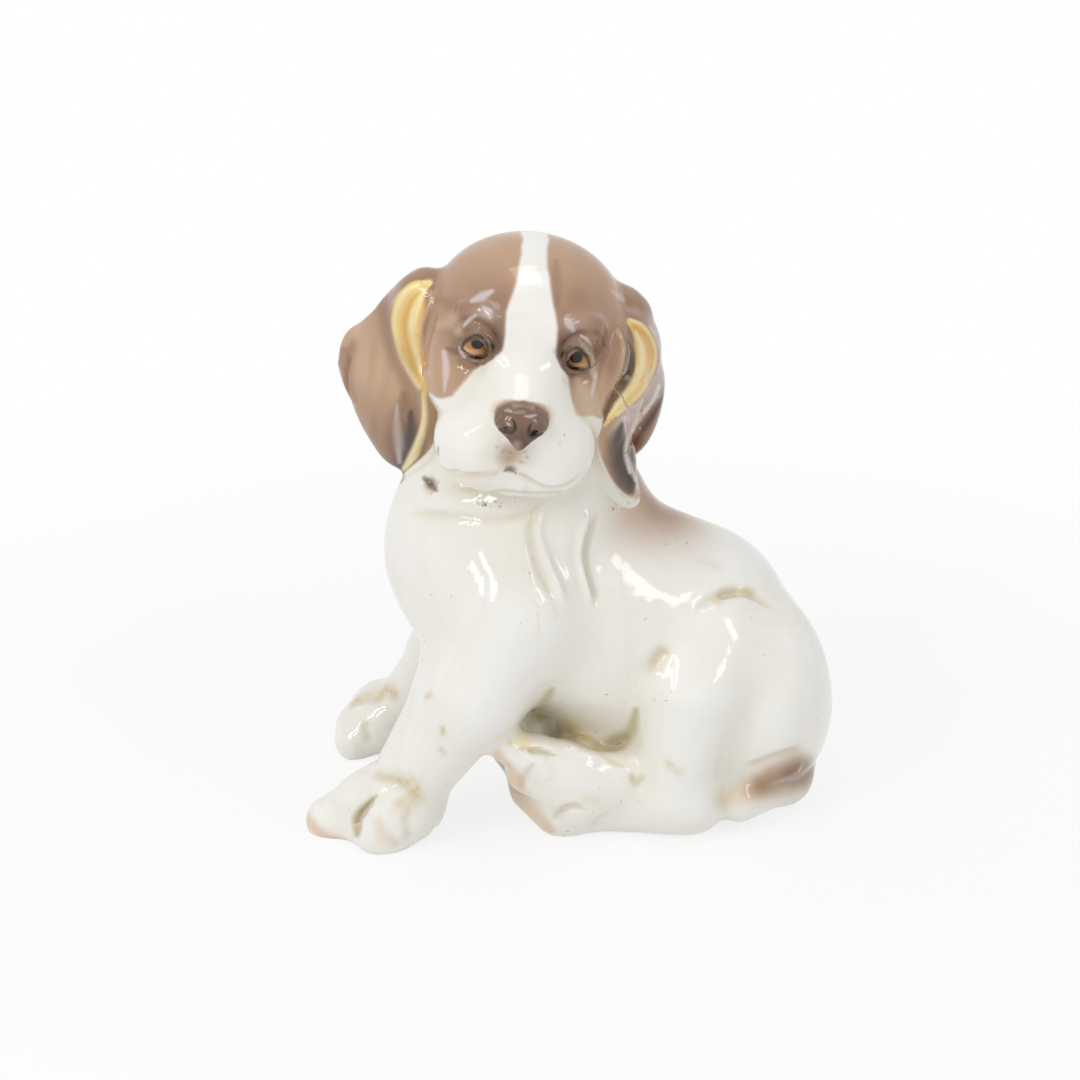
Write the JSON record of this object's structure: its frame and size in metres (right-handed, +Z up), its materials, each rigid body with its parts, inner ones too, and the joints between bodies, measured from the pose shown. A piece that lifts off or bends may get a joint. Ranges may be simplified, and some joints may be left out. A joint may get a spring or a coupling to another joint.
{
  "type": "dog figurine",
  "caption": "Seated hound puppy in glazed porcelain, head turned to its left, forelegs splayed, one hind foot laid forward.",
  "frame": {"origin": "on the table plane, under the middle of the figurine's footprint", "axes": "+Z up, -Y the way the body faces, +X to the dog's left, the side its head is turned to"},
  "size_m": [0.0906, 0.1357, 0.1515],
  "materials": {
    "white_glaze": "clear high-gloss glaze over white porcelain, sprayed with brown and beige shading",
    "brown_glaze": "clear high-gloss glaze over sprayed mauve-brown underglaze colour"
  },
  "bodies": {
    "root": {"torso": "white_glaze", "head": "white_glaze", "right_ear": "brown_glaze", "left_ear": "brown_glaze", "left_foreleg": "white_glaze", "right_foreleg": "white_glaze", "left_hind_leg": "white_glaze", "right_hind_leg": "white_glaze", "tail": "white_glaze"}
  },
  "joints": []
}
